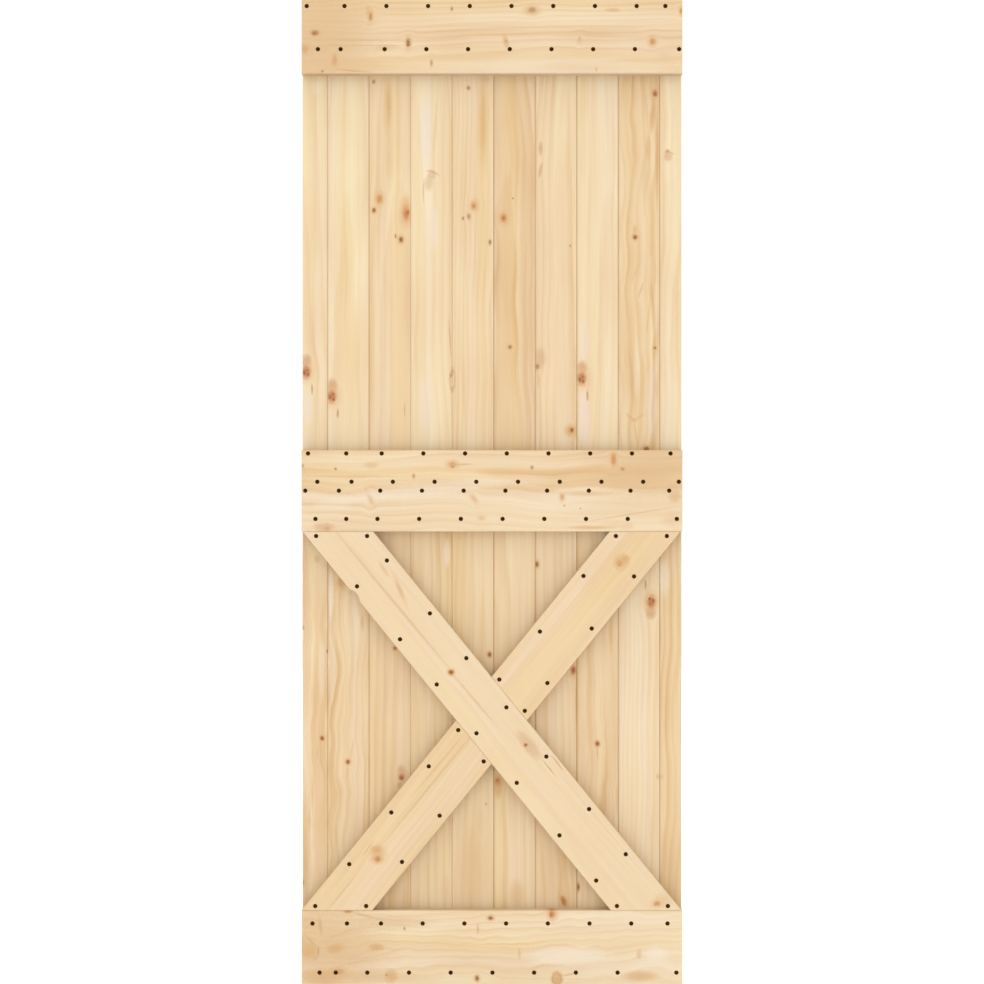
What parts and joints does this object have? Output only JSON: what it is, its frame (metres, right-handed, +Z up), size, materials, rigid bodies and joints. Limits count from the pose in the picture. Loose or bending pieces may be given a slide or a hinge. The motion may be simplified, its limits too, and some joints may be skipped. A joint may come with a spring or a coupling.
{
  "type": "sliding barn door leaf",
  "caption": "Boarded pine door leaf with tongue-and-groove uprights, three rails and a crossed brace below the middle rail, screwed from the front, to hang from a sliding track.",
  "frame": {"origin": "middle of the leaf's bottom edge, half-way through its thickness", "axes": "+Z up the door, +X to the right as seen from the railed front, which faces -Y"},
  "size_m": [0.8, 0.04, 2.1],
  "materials": {
    "pine_board": "bare planed pine, smooth, with knots",
    "pine_rail": "bare planed pine, smooth, with knots",
    "pine_brace": "bare planed pine, smooth, with knots",
    "dark_screw": "dark brown-black coating, satin"
  },
  "bodies": {
    "root": {"upper_board_01": "pine_board", "upper_board_02": "pine_board", "upper_board_03": "pine_board", "upper_board_04": "pine_board", "upper_board_05": "pine_board", "upper_board_06": "pine_board", "upper_board_07": "pine_board", "upper_board_08": "pine_board", "upper_board_09": "pine_board", "upper_board_10": "pine_board", "lower_board_01": "pine_board", "lower_board_02": "pine_board", "lower_board_03": "pine_board", "lower_board_04": "pine_board", "lower_board_05": "pine_board", "lower_board_06": "pine_board", "lower_board_07": "pine_board", "lower_board_08": "pine_board", "lower_board_09": "pine_board", "lower_board_10": "pine_board", "top_rail": "pine_rail", "middle_rail": "pine_rail", "bottom_rail": "pine_rail", "through_brace": "pine_brace", "upper_half_brace": "pine_brace", "lower_half_brace": "pine_brace", "top_rail_screws": "dark_screw", "middle_rail_screws": "dark_screw", "bottom_rail_screws": "dark_screw", "through_brace_screws": "dark_screw", "upper_half_brace_screws": "dark_screw", "lower_half_brace_screws": "dark_screw"}
  },
  "joints": []
}
